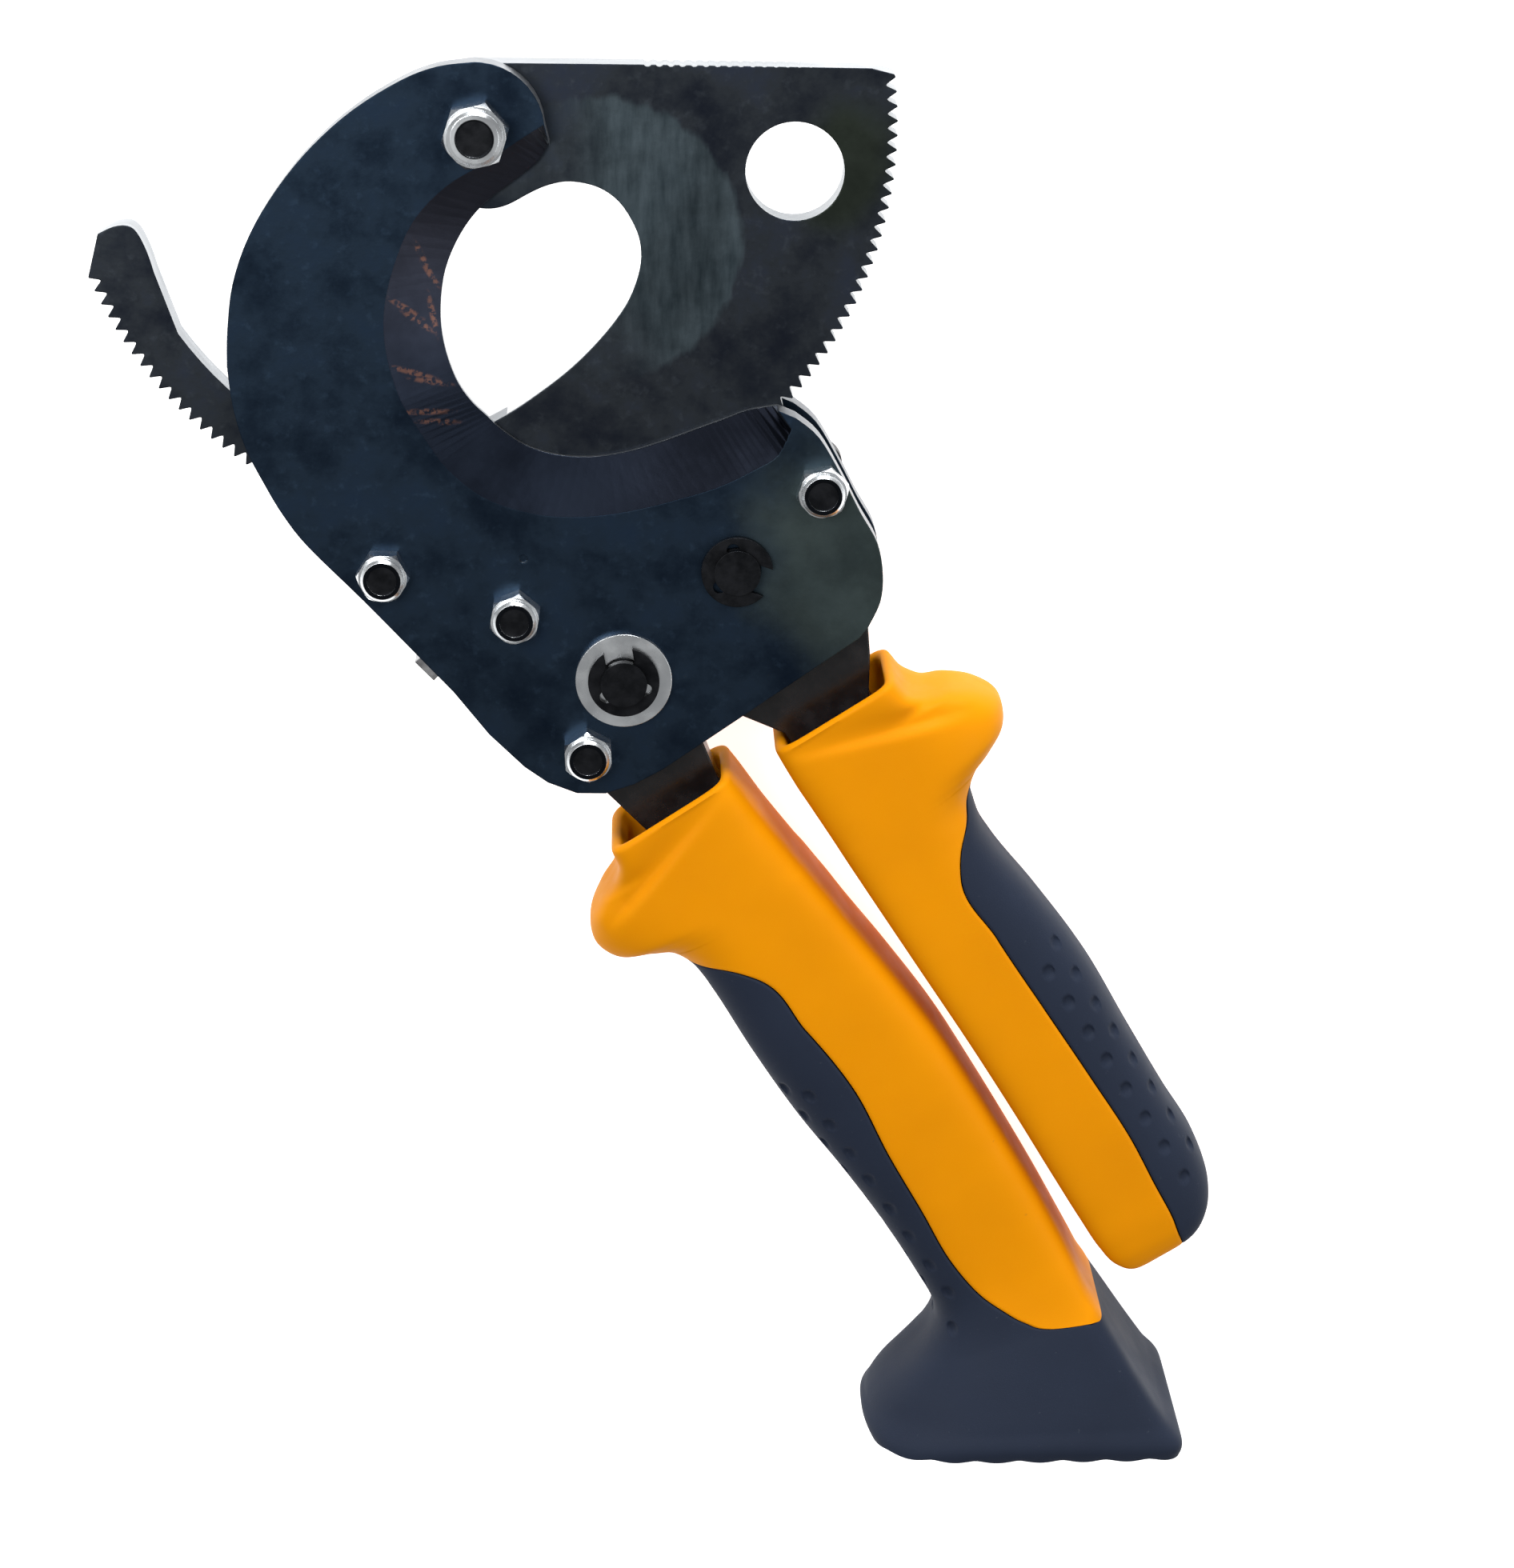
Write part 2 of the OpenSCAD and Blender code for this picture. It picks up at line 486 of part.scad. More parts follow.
stop_arm = bolt_c - handle_at;
stop_r = norm(stop_arm);
stop_a = atan2(stop_arm[1], stop_arm[0]) + 360;
stop_slack = 1;
slot_half = bush_r + 0.35;
lever_r = stop_r + slot_half + 3;
spring_pocket_r = 8;
lever_outline = concat(arc(handle_at, lever_r, stop_a - 36, stop_a + 15, 12),
    [on_moving(0, tang_v + tang_w), on_moving(tang_depth, tang_out(tang_depth)),
     on_moving(tang_depth, tang_v), on_moving(-1, tang_v), [37, -107.5], [33.6, -99]],
    arc(handle_at, 10.5, -20, 100, 8), arc(handle_at, 10.5, 130, 190, 4));
function slot_line(r0, r1, a0, a1) = concat(arc(handle_at, r1, a0, a1, 10),
    arc(handle_at + polar(stop_r, a1), slot_half, a1 + 15, a1 + 165, 8),
    arc(handle_at, r0, a1, a0, 10),
    arc(handle_at + polar(stop_r, a0), slot_half, a0 + 195, a0 + 345, 8));
module stop_slot() translate([0, 0, -blade_t])
    linear_extrude(2 * blade_t) polygon(slot_line(stop_r - slot_half, stop_r + slot_half,
        stop_a - stop_slack, stop_a + handle_open + stop_slack));
arm_r = 5;
arm_a = atan2(drive_at[1] - handle_at[1], drive_at[0] - handle_at[0]);
upper_cut = concat([handle_at + polar(26, -8)], arc(handle_at, spring_pocket_r, -22, -170, 12),
    [handle_at + polar(26, 186), handle_at + [-26, 26], handle_at + [26, 26]]);
// Direction of the spring's leg that lies in the lever
leg_a = -70;
spring_wire_r = 0.45;
spring_r = pin_r + running_fit + spring_wire_r + 0.6;
module moving_lever() color(black) difference() {
    union() {
        translate([0, 0, -blade_t / 2]) linear_extrude(blade_t) polygon(lever_outline);
        rod(drive_at, arm_r, -blade_t / 2, blade_t / 2);
        translate([handle_at[0], handle_at[1], -blade_t / 2]) rotate(arm_a)
            translate([0, -arm_r]) cube([norm(drive_at - handle_at), 2 * arm_r, blade_t]);
    }
    bore(handle_at, pin_r + running_fit);
    bore(drive_at, pawl_pin_r);
    linear_extrude(blade_t) polygon(upper_cut);
    translate([handle_at[0], handle_at[1], 0]) rotate(leg_a)
        translate([2, spring_r - 1, 0]) cube([13.5, 2, blade_t]);
    stop_slot();
}

module drive_pawl_pin() color(steel) rod(drive_at, pawl_pin_r, -blade_t / 2, blade_t / 2);

// Torsion spring about the handle pin, one leg in the lever and one beside the fixed tang
module handle_spring() color(steel) {
    foot_a = -43.5;
    turns = coil(handle_at, spring_r, 0.55, 2.35, leg_a + 90, foot_a + 720, 48);
    leg = handle_at + polar(14.5, leg_a) + polar(spring_r, leg_a + 90);
    foot = handle_at + polar(spring_r, foot_a) + polar(15.6, foot_a + 90);
    wire(concat([[leg[0], leg[1], 0.55]], turns, [[foot[0], foot[1], 2.35]]), spring_wire_r);
}

// ---------- pawls ----------
drive_nose = polar(tooth_r + pawl_gap, 270);
drive_aim = unit(drive_nose - drive_at);
drive_side = [-drive_aim[1], drive_aim[0]];
function at_drive(x, y) = drive_at + x * drive_aim + y * drive_side;
drive_len = norm(drive_nose - drive_at);
module drive_pawl() color(steel) difference() {
    union() {
        rod(drive_at, 4.4, pawl_z[0], pawl_z[1]);
        translate([0, 0, pawl_z[0]]) linear_extrude(pawl_z[1] - pawl_z[0])
            polygon([at_drive(0, -4.3), at_drive(4, -3.2), at_drive(15, -2),
                     at_drive(drive_len - 2, -1.4), at_drive(drive_len, 0),
                     at_drive(drive_len - 0.6, 1.2), at_drive(drive_len - 3, 2),
                     at_drive(10.5, 1.9), at_drive(5, 3), at_drive(0, 4.3)]);
    }
    bore(drive_at, pawl_pin_r + running_fit);
}
pawl_wire_r = 0.4;
module drive_pawl_spring() color(steel) {
    r = bush_r + pawl_wire_r + 0.15;
    turns = coil(bolt_b, r, -2.4, -0.5, -150, 440, 48);
    push = at_drive(15.5, 2.9);
    wire(concat([[-5.2, -86.4, -2.4]], turns, [[push[0], push[1], 1.2]]), pawl_wire_r);
}

gap_a = tooth_start - tooth_pitch * (floor((tooth_start + 71.3) / tooth_pitch) - 0.5);
hold_tip_r = tooth_r - tooth_depth + 0.45;
function on_hold(p) = turned(p, hold_at, hold_engage);
hold_outline = [for (p = [polar(hold_tip_r, gap_a), polar(hold_tip_r + 1.5, gap_a - 0.75),
        polar(tooth_r + 3.6, gap_a - 1.1), hold_at + [-16, -0.5], hold_at + [-1, -pawl_hub_r],
        hold_at + [0.5, pawl_hub_r], hold_at + [-8, 7], polar(tooth_r + 1.2, gap_a + 3.4),
        polar(hold_tip_r + 1.5, gap_a + 0.75)]) on_hold(p)];
module holding_pawl() color(steel) difference() {
    union() {
        rod(hold_at, pawl_hub_r, pawl_z[0], pawl_z[1]);
        translate([0, 0, pawl_z[0]]) linear_extrude(pawl_z[1] - pawl_z[0]) polygon(hold_outline);
    }
    bore(hold_at, pin_r);
}
hold_play = 0.15;
release_z = -plate_z - hold_play;
release_t = 2.5;
hold_pin_z = [release_z - release_t - clip_t - 0.8, plate_z + hold_play + clip_t + 0.8];
module holding_pawl_pin() color(black) difference() {
    rod(hold_at, pin_r, hold_pin_z[0], hold_pin_z[1]);
    for (z = [plate_z + hold_play, release_z - release_t - clip_t]) difference() {
        rod(hold_at, pin_r + 1, z, z + clip_t);
        rod(hold_at, groove_r, z - 1, z + clip_t + 1);
    }
}
module holding_pawl_clips() color(black)
    for (z = [plate_z + hold_play, release_z - release_t - clip_t])
        translate([hold_at[0], hold_at[1], z]) rotate(-20) e_clip(groove_r, clip_r, clip_t);

release_a = -48;
module release_lever() color(black) translate([hold_at[0], hold_at[1], release_z - release_t])
    rotate(release_a) difference() {
        union() {
            cylinder(r = 7, h = release_t);
            translate([0, -4, 0]) cube([17, 8, release_t]);
            translate([14.5, -5.5, -4]) cube([3, 11, 4 + release_t]);
        }
        translate([0, 0, -1]) cylinder(r = pin_r, h = release_t + 2);
        for (y = [-4.2 : 1.4 : 4.2]) translate([18.1, y, -5]) cylinder(r = 0.9, h = 12);
    }
module holding_pawl_spring() color(steel)
    wire([for (p = smooth([[-0.8, -11.6, 1.5], [-4.4, -11, 1.5], [-7.6, -9.4, 1.5],
        [-10.4, -7, 1.5], [-14, -3.4, 1.5]], 2)) [hold_at[0], hold_at[1], 0] + p], pawl_wire_r);

module place() translate(-origin_at) children();
place() front_plate();
place() rear_plate();
place() side_spacer();
place() frame_spacers();
place() frame_bolts();
place() frame_nuts();
place() pivot_bolt();
place() pivot_nut();
place() fixed_tang();
place() fixed_grip_shell();
place() fixed_grip_pad();
place() handle_pin();
place() handle_pin_washer();
place() handle_pin_clip();
place() blade();
place() moving_lever();
place() moving_grip_shell();
place() moving_grip_pad();
place() drive_pawl_pin();
place() handle_spring();
place() drive_pawl();
place() drive_pawl_spring();
place() holding_pawl();
place() holding_pawl_pin();
place() holding_pawl_clips();
place() release_lever();
place() holding_pawl_spring();
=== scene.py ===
# Looks of the ratcheting cable cutter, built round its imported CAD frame.
# Lengths in the tables are millimetres seen from the blade's pivot, as in the part's source.
import json
import math

import bmesh
import bpy
import numpy as np
from mathutils import Matrix, Vector


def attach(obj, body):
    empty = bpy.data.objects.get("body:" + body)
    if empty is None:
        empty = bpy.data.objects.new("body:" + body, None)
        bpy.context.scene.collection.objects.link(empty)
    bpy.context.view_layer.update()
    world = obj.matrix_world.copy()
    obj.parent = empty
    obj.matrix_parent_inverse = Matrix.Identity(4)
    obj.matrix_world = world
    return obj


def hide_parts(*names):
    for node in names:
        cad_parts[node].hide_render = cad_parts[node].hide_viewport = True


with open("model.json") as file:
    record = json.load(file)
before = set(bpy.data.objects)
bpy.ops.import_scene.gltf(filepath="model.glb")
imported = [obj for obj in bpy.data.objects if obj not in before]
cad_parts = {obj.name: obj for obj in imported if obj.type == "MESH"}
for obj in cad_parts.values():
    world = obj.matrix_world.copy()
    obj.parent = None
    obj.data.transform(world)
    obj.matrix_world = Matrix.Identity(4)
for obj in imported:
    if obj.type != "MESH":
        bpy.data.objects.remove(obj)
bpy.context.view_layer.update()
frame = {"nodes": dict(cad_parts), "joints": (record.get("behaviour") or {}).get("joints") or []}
nodes = frame["nodes"]
joints = {j["name"]: j for j in frame["joints"]}

MM = 0.001
PIVOT = Vector(joints["blade_swing"]["pos_m"])


def at(x, y, z=0.0):
    """A point in metres in the row frame, from millimetres seen from the blade's pivot."""
    return PIVOT + Vector((x, y, z)) * MM


# ---------------------------------------------------------------- camera and light
SENSOR_WIDTH = 36
LENS = 91.84
CAMERA_AT = (27.0, 112.4, 667.5)
CAMERA_RIGHT = (0.999568, 0.0, 0.029399)
CAMERA_BACK = (-0.027810, 0.324382, 0.945517)


def make_camera():
    data = bpy.data.cameras.new("camera")
    data.sensor_width = SENSOR_WIDTH
    data.lens = LENS
    camera = bpy.data.objects.new("camera", data)
    bpy.context.scene.collection.objects.link(camera)
    back = Vector(CAMERA_BACK).normalized()
    up = back.cross(Vector(CAMERA_RIGHT)).normalized()
    turn = Matrix((up.cross(back), up, back)).transposed()
    camera.matrix_world = Matrix.Translation(at(*CAMERA_AT)) @ turn.to_4x4()
    bpy.context.scene.camera = camera


# Name, place and diameter in metres, and power in watts, of the lights aimed at the origin
LIGHTS = (("key", (-0.35, 0.35, 0.8), 0.5, 4.9),
          ("fill", (0.6, -0.1, 0.6), 0.6, 1.8),
          ("top", (0.1, 0.95, 0.3), 0.5, 8.4))
WORLD_STRENGTH = 0.3
FLOOR_HALF = 3.0
FLOOR_DROP = 0.0004
FLOOR_WHITE = 0.93
FLOOR_GLOW = 0.85


def area_light(name, place, size, power):
    data = bpy.data.lights.new(name, "AREA")
    data.shape = "DISK"
    data.size = size
    data.energy = power
    light = bpy.data.objects.new(name, data)
    light.location = place
    light.rotation_euler = (-Vector(place)).to_track_quat("-Z", "Y").to_euler()
    bpy.context.scene.collection.objects.link(light)


def make_stage():
    scene = bpy.context.scene
    world = bpy.data.worlds.new("studio")
    scene.world = world
    world.use_nodes = True
    background = world.node_tree.nodes["Background"]
    background.inputs["Color"].default_value = (1, 1, 1, 1)
    background.inputs["Strength"].default_value = WORLD_STRENGTH
    for light in LIGHTS:
        area_light(*light)
    mesh = bpy.data.meshes.new("floor")
    corners = [(x * FLOOR_HALF, y * FLOOR_HALF, 0) for x, y in ((-1, -1), (1, -1), (1, 1), (-1, 1))]
    mesh.from_pydata(corners, [], [(0, 1, 2, 3)])
    floor = bpy.data.objects.new("floor", mesh)
    floor.location.z = -FLOOR_DROP
    scene.collection.objects.link(floor)
    material, shader = new_material("floor_white")
    shader.inputs["Base Color"].default_value = (FLOOR_WHITE, FLOOR_WHITE, FLOOR_WHITE, 1)
    shader.inputs["Roughness"].default_value = 0.9
    shader.inputs["Emission Color"].default_value = (1, 1, 1, 1)
    shader.inputs["Emission Strength"].default_value = FLOOR_GLOW
    mesh.materials.append(material)
    scene.view_settings.view_transform = "Standard"


# ---------------------------------------------------------------- material helpers
def new_material(name):
    material = bpy.data.materials.new(name)
    material.use_nodes = True
    return material, material.node_tree.nodes["Principled BSDF"]


class Nodes:
    """Short calls for building a material's node tree. Positions are the part's own."""

    def __init__(self, name):
        self.material, self.shader = new_material(name)
        self.tree = self.material.node_tree
        self.coords = self.add("ShaderNodeTexCoord")

    def add(self, kind, **values):
        node = self.tree.nodes.new(kind)
        for key, value in values.items():
            setattr(node, key, value)
        return node

    def link(self, source, target):
        self.tree.links.new(source, target)

    def feed(self, socket, value):
        """Links a socket, or sets a plain value."""
        if isinstance(value, bpy.types.NodeSocket):
            self.link(value, socket)
        else:
            socket.default_value = value

    def place(self, scale, turn=0.0):
        """Coordinates turned about Z and stretched, for a texture drawn out into streaks."""
        mapping = self.add("ShaderNodeMapping")
        self.link(self.coords.outputs["Object"], mapping.inputs["Vector"])
        mapping.inputs["Rotation"].default_value = (0, 0, turn)
        mapping.inputs["Scale"].default_value = scale
        return mapping.outputs["Vector"]

    def noise(self, scale, detail=3.0, vector=None, rough=0.55):
        node = self.add("ShaderNodeTexNoise")
        node.inputs["Scale"].default_value = scale
        node.inputs["Detail"].default_value = detail
        node.inputs["Roughness"].default_value = rough
        self.link(vector or self.coords.outputs["Object"], node.inputs["Vector"])
        return node.outputs["Fac"]

    def ramp(self, value, *stops):
        node = self.add("ShaderNodeValToRGB")
        elements = node.color_ramp.elements
        while len(elements) < len(stops):
            elements.new(0.5)
        for element, (place, colour) in zip(elements, stops):
            element.position = place
            element.color = (*colour, 1)
        self.link(value, node.inputs["Fac"])
        return node.outputs["Color"]

    def span(self, value, low, high, to_low=0.0, to_high=1.0):
        """Smooth step of a value from low to high."""
        node = self.add("ShaderNodeMapRange", interpolation_type="SMOOTHSTEP")
        self.link(value, node.inputs["Value"])
        node.inputs["From Min"].default_value = low
        node.inputs["From Max"].default_value = high
        node.inputs["To Min"].default_value = to_low
        node.inputs["To Max"].default_value = to_high
        return node.outputs["Result"]

    def math(self, operation, a, b=0.0):
        node = self.add("ShaderNodeMath", operation=operation)
        self.feed(node.inputs[0], a)
        self.feed(node.inputs[1], b)
        return node.outputs["Value"]

    def mix(self, factor, a, b):
        node = self.add("ShaderNodeMix", data_type="RGBA")
        self.feed(node.inputs["Factor"], factor)
        for socket, value in ((node.inputs["A"], a), (node.inputs["B"], b)):
            self.feed(socket, (*value, 1) if isinstance(value, tuple) else value)
        return node.outputs["Result"]

    def facing(self):
        """How much the surface faces along Z: 1 on the flat faces, 0 on the side walls."""
        split = self.add("ShaderNodeSeparateXYZ")
        self.link(self.coords.outputs["Normal"], split.inputs["Vector"])
        return self.math("ABSOLUTE", split.outputs["Z"])

    def flat(self):
        """1 on the flat faces and 0 on bevels and side walls."""
        return self.span(self.facing(), 0.97, 0.99)

    def colour(self):
        """The base colour as it stands."""
        return self.shader.inputs["Base Color"].links[0].from_socket

    def recolour(self, mask, tone):
        """Lays a tone over the base colour where the mask is 1."""
        self.feed(self.shader.inputs["Base Color"], self.mix(mask, self.colour(), tone))

    def distance(self, x, y):
        """Distance in millimetres from a vertical line through (x, y)."""
        moved = self.add("ShaderNodeVectorMath", operation="SUBTRACT")
        self.link(self.coords.outputs["Object"], moved.inputs[0])
        moved.inputs[1].default_value = at(x, y)
        scaled = self.add("ShaderNodeVectorMath", operation="MULTIPLY")
        self.link(moved.outputs["Vector"], scaled.inputs[0])
        scaled.inputs[1].default_value = (1 / MM, 1 / MM, 0)
        length = self.add("ShaderNodeVectorMath", operation="LENGTH")
        self.link(scaled.outputs["Vector"], length.inputs[0])
        return length.outputs["Value"]

    def ellipse(self, x, y, angle, half_length, half_width):
        """Distance from (x, y) in the plane, as a share of a turned ellipse's half axes."""
        node = self.add("ShaderNodeMapping", vector_type="TEXTURE")
        self.link(self.coords.outputs["Object"], node.inputs["Vector"])
        node.inputs["Location"].default_value = at(x, y)
        node.inputs["Rotation"].default_value = (0, 0, angle)
        node.inputs["Scale"].default_value = (half_length * MM, half_width * MM, 1)
        length = self.add("ShaderNodeVectorMath", operation="LENGTH")
        self.link(node.outputs["Vector"], length.inputs[0])
        return length.outputs["Value"]

    def bump(self, height, strength, distance=0.0002, rounded=0.0):
        """Fine relief, with edges that catch the light as if rounded to that radius."""
        node = self.add("ShaderNodeBump")
        node.inputs["Strength"].default_value = strength
        node.inputs["Distance"].default_value = distance
        self.link(height, node.inputs["Height"])
        if rounded:
            bevel = self.add("ShaderNodeBevel", samples=4)
            bevel.inputs["Radius"].default_value = rounded
            self.link(bevel.outputs["Normal"], node.inputs["Normal"])
        self.link(node.outputs["Normal"], self.shader.inputs["Normal"])


def steel(name, dark, tint, side, rough=0.36, edge=0.0003):
    """Blackened steel: mottled oxide on its faces, brushed and brighter side walls."""
    n = Nodes(name)
    mottle = n.noise(70, 6.0, rough=0.65)
    flat = n.ramp(mottle, (0.3, dark), (0.52, tint), (0.75, tuple(c * 1.5 for c in dark)))
    fine = n.noise(520, 4.0)
    flat = n.mix(n.span(fine, 0.55, 0.75, 0, 0.35), flat, tuple(c * 2.0 for c in tint))
    wall = n.span(n.facing(), 0.45, 0.8)
    grain = n.noise(60, 3.0, n.place((1, 1, 40)))
    bright = n.ramp(grain, (0.3, tuple(c * 0.75 for c in side)), (0.7, side))
    n.feed(n.shader.inputs["Base Color"], n.mix(wall, bright, flat))
    n.shader.inputs["Metallic"].default_value = 0.97
    n.feed(n.shader.inputs["Roughness"], n.span(mottle, 0.3, 0.7, rough - 0.06, rough + 0.12))
    n.bump(fine, 0.12, rounded=edge)
    return n


COPPER_MARKS = ((-12.5, -29.5, -36, 8), (-10.5, -32, -38, 7), (-11.5, -40.5, -20, 9),
                (-8.5, -42.3, -14, 8), (-9.5, -47.2, -4, 10), (-7.5, -49, -6, 8),
                (-9.6, -20.5, -68, 6), (-8.2, -24, -60, 6), (-8.0, -31, -80, 8))


def add_right_side_tone(n):
    """Lighter, olive tone on the plate's right-hand side."""
    cloud = n.math("MULTIPLY", n.noise(55, 4.0), 22)
    right_side_mask = n.span(n.math("ADD", n.distance(66, -72), cloud), 38, 22)
    shade = n.mix(n.noise(90, 4.0), (0.04, 0.058, 0.062), (0.075, 0.1, 0.098))
    n.recolour(n.math("MULTIPLY", right_side_mask, n.flat()), shade)


def add_hook_marks_and_painted_shade(n):
    """The hook's ground bevel, with painted light and shade on it, and copper-coloured drag marks
    left by cut cable.
    """
    tilt = n.math("MULTIPLY", n.span(n.facing(), 0.5, 0.7), n.span(n.facing(), 0.985, 0.97))
    speckle = n.span(n.noise(1100, 3.0), 0.42, 0.6)
    marks = 0.0
    for x, y, angle, length in COPPER_MARKS:
        away = n.ellipse(x, y, math.radians(angle), length / 2, 0.55)
        marks = n.math("MAXIMUM", marks, n.span(away, 1.25, 0.4))
    marks = n.math("MULTIPLY", n.math("MULTIPLY", marks, speckle), tilt)
    split = n.add("ShaderNodeSeparateXYZ")
    n.link(n.coords.outputs["Object"], split.inputs["Vector"])
    # Painted light and shade: the bevel is lighter at the top and darker towards the bottom and the
    # right.
    high = n.span(split.outputs["Y"], at(0, -52)[1], at(0, -8)[1])
    right = n.span(split.outputs["X"], at(-2, 0)[0], at(36, 0)[0])
    low_painted_shade = n.mix(right, (0.015, 0.0205, 0.034), (0.0035, 0.0045, 0.0075))
    n.recolour(tilt, n.mix(high, low_painted_shade, (0.028, 0.03, 0.042)))
    n.recolour(marks, (0.12, 0.062, 0.05))


def add_blade_hollow(n):
    """Lighter, brushed hollow beside the cutting edge, and olive heat stains."""
    ragged = n.math("MULTIPLY", n.noise(1, 3.0, n.place((420, 120, 1), 0.35)), 3.0)
    away = n.math("ADD", n.distance(20, -19), ragged)
    inside = n.span(away, 26.2, 24.8)
    brushed = n.noise(1, 4.0, n.place((520, 90, 1), -0.5))
    cloud = n.noise(60, 4.0)
    tone = n.ramp(n.math("MULTIPLY", n.math("ADD", brushed, cloud), 0.5),
                  (0.35, (0.03, 0.044, 0.053)), (0.65, (0.09, 0.118, 0.136)))
    low = n.span(n.distance(2, -52), 24, 36, 0.1, 1.0)
    near_hook = n.span(n.distance(0, -2), 14, 24, 0.15, 1.0)
    mask = n.math("MULTIPLY", n.math("MULTIPLY", inside, low), near_hook)
    stain = n.span(n.math("ADD", n.distance(60, -7), n.math("MULTIPLY", cloud, 12)), 19, 12)
    n.recolour(n.math("MULTIPLY", stain, n.flat()), (0.03, 0.038, 0.03))
    n.recolour(n.math("MULTIPLY", mask, n.flat()), tone)


FASTENERS = ((-17.4, -75.2), (4.9, -82.8), (17.1, -107.8), (57.5, -61), (0, 0))


NYLON_R = 3.25


def add_nylon_rings(n):
    """Dark nylon inside the lock nuts, about each of the frame's bolts and the pivot."""
    nearest = 99.0
    for x, y in FASTENERS:
        nearest = n.math("MINIMUM", nearest, n.distance(x, y))
    band = n.math("MULTIPLY", n.span(nearest, -0.1, 0.1),
                  n.span(nearest, NYLON_R + 0.1, NYLON_R - 0.1))
    n.recolour(n.math("MULTIPLY", band, n.span(n.facing(), 0.6, 0.9)), (0.012, 0.014, 0.018))


def plated(name, light, shade, rough, scale=400):
    """Plain or plated metal, clouded between two tones."""
    n = Nodes(name)
    cloud = n.noise(scale, 4.0)
    n.feed(n.shader.inputs["Base Color"], n.ramp(cloud, (0.3, shade), (0.65, light)))
    n.shader.inputs["Metallic"].default_value = 1.0
    n.feed(n.shader.inputs["Roughness"], n.span(cloud, 0.3, 0.7, rough - 0.05, rough + 0.1))
    n.bump(n.noise(2600, 2.0), 0.12, 0.0001, rounded=0.0002)
    return n


def enamel(name):
    n = Nodes(name)
    cloud = n.noise(300, 3.0)
    n.feed(n.shader.inputs["Base Color"],
           n.ramp(cloud, (0.3, (0.006, 0.006, 0.007)), (0.7, (0.014, 0.014, 0.016))))
    n.feed(n.shader.inputs["Roughness"], n.span(cloud, 0.3, 0.7, 0.18, 0.32))
    n.bump(cloud, 0.08, rounded=0.0005)
    return n


def orange_plastic():
    n = Nodes("orange_plastic")
    cloud = n.noise(38, 3.0)
    colour = n.ramp(cloud, (0.3, (0.7, 0.246, 0.0)), (0.7, (0.76, 0.272, 0.0)))
    specks = n.span(n.noise(640, 5.0), 0.71, 0.78, 0.0, 0.5)
    n.feed(n.shader.inputs["Base Color"], n.mix(specks, colour, (0.5, 0.17, 0.01)))
    n.shader.inputs["Specular IOR Level"].default_value = 0.07
    n.shader.inputs["Subsurface Weight"].default_value = 0.05
    n.shader.inputs["Subsurface Radius"].default_value = (0.004, 0.0015, 0.0005)
    n.feed(n.shader.inputs["Roughness"], n.span(n.noise(180, 4.0), 0.3, 0.7, 0.48, 0.6))
    n.bump(n.noise(1500, 3.0), 0.06, 0.0001)
    return n


def soft_grey():
    n = Nodes("soft_grey")
    cloud = n.noise(55, 4.0)
    colour = n.ramp(cloud, (0.3, (0.0135, 0.0195, 0.0365)), (0.7, (0.0165, 0.0235, 0.043)))
    dust = n.span(n.noise(900, 6.0), 0.66, 0.78, 0.0, 0.2)
    n.feed(n.shader.inputs["Base Color"], n.mix(dust, colour, (0.09, 0.1, 0.12)))
    n.feed(n.shader.inputs["Roughness"], n.span(cloud, 0.3, 0.7, 0.62, 0.74))
    n.shader.inputs["Specular IOR Level"].default_value = 0.14
    n.bump(n.noise(3200, 2.0), 0.2, 0.0001)
    return n


# ---------------------------------------------------------------- grips
GUARD_WALL = 2.0
POCKET_DEPTH = 17
PAD_STARTS = 0.012
PAD_CLOSES = 0.965
SHARP_ANGLE = math.radians(48)
INNER_POWER = 6.5
FOOT_POWER = 14.0
STEP = 0.45
RING = 192  # points round a ring, and across the face that closes a pad's ring
FILL = 60
HALF_T = 12.0
FOOT_HALF = 21.3
SOLE_Y = -240.6
DIMPLE_R = 1.3
DIMPLE_DEEP = 0.75
DIMPLE_PITCH = 6.7
RIDGE_PITCH = 7.9
RIDGE_START = 70
RIDGE_HEIGHT = 0.5
RIDGE_ZONE = 0.9


def unit(x, y):
    v = np.array([x, y], float)
    return v / np.linalg.norm(v)


class Axis:
    """Layout of a grip: s runs down its inner edge, v across to the outside."""

    def __init__(self, base, direction, turn):
        self.base = np.array(base, float)
        self.dir = unit(*direction)
        self.side = turn * np.array([self.dir[1], -self.dir[0]])

    def at(self, s, v):
        return self.base + s * self.dir + v * self.side

    def row(self, s, v_in, v_out, h, b, power, s_out=None, in_power=INNER_POWER):
        """Inner and outer point, half thickness, share of the pad, squareness out and in."""
        inner = self.at(s, v_in)
        outer = self.at(s if s_out is None else s_out, v_out)
        return [*inner, *outer, h, b, power, in_power]

    def place(self, points):
        """s and v of points."""
        away = points[:, :2] - self.base
        return away @ self.dir, away @ self.side


def smooth_rows(rows, step):
    """Smooth rows through the given ones, about one step apart, whatever their spacing."""
    rows = np.array(rows, float)
    moves = np.diff(rows, axis=0)
    runs = np.maximum(np.hypot(moves[:, 0], moves[:, 1]), np.hypot(moves[:, 2], moves[:, 3]))
    rates = moves / runs[:, None]
    inner = (runs[1:, None] * rates[:-1] + runs[:-1, None] * rates[1:])
    inner /= (runs[1:] + runs[:-1])[:, None]
    slopes = np.vstack([rates[:1], inner, rates[-1:]])
    out = []
    for i, run in enumerate(runs):
        count = max(int(run / step), 2)
        for t in np.arange(count) / count:
            out.append(rows[i] + moves[i] * t * t * (3 - 2 * t)
                       + run * slopes[i] * t * (1 - t) ** 2 - run * slopes[i + 1] * t * t * (1 - t))
    out.append(rows[-1])
    return np.array(out)


